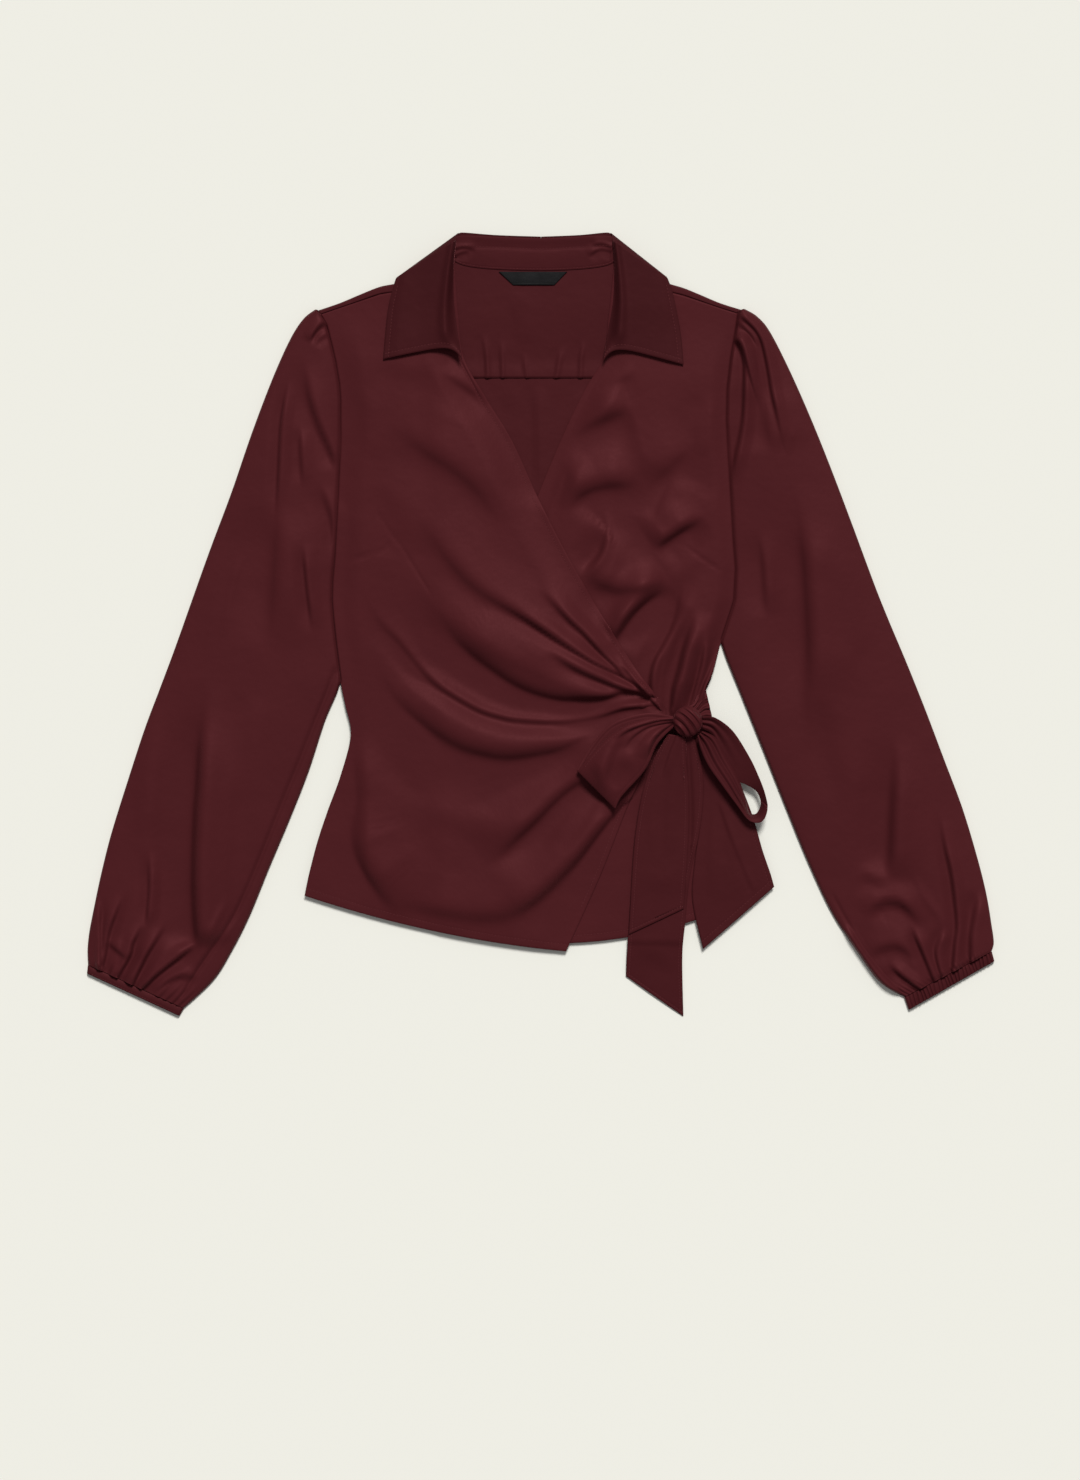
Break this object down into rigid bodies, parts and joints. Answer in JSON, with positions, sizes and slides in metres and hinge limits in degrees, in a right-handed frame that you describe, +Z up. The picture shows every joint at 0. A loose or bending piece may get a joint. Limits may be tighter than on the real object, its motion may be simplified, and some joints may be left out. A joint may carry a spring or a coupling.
{
  "type": "wrap top",
  "caption": "Satin wrap blouse laid flat on its back, with a shirt collar, full gathered sleeves and a sash tied in a bow at the waist.",
  "frame": {"origin": "middle of the laid garment's outline, on the surface that its back lies on", "axes": "+Z up from that surface, +Y towards the collar, +X to the viewer's right, which is the wearer's left"},
  "size_m": [0.8155, 0.7046, 0.021],
  "materials": {
    "satin": "soft satin, fine weave",
    "label_satin": "black woven satin tape"
  },
  "bodies": {
    "root": {"back": "satin", "back_yoke": "satin", "front_under": "satin", "front_over": "satin", "side_panel": "satin", "sleeve_left": "satin", "sleeve_right": "satin", "cuff_left": "satin", "cuff_right": "satin", "collar_left": "satin", "collar_right": "satin", "collar_stand": "satin", "neck_label": "label_satin", "waist_tie": "satin", "bow_knot": "satin", "bow_loop_left": "satin", "bow_loop_right": "satin", "tie_tail_upper": "satin", "tie_tail_lower": "satin"}
  },
  "joints": []
}
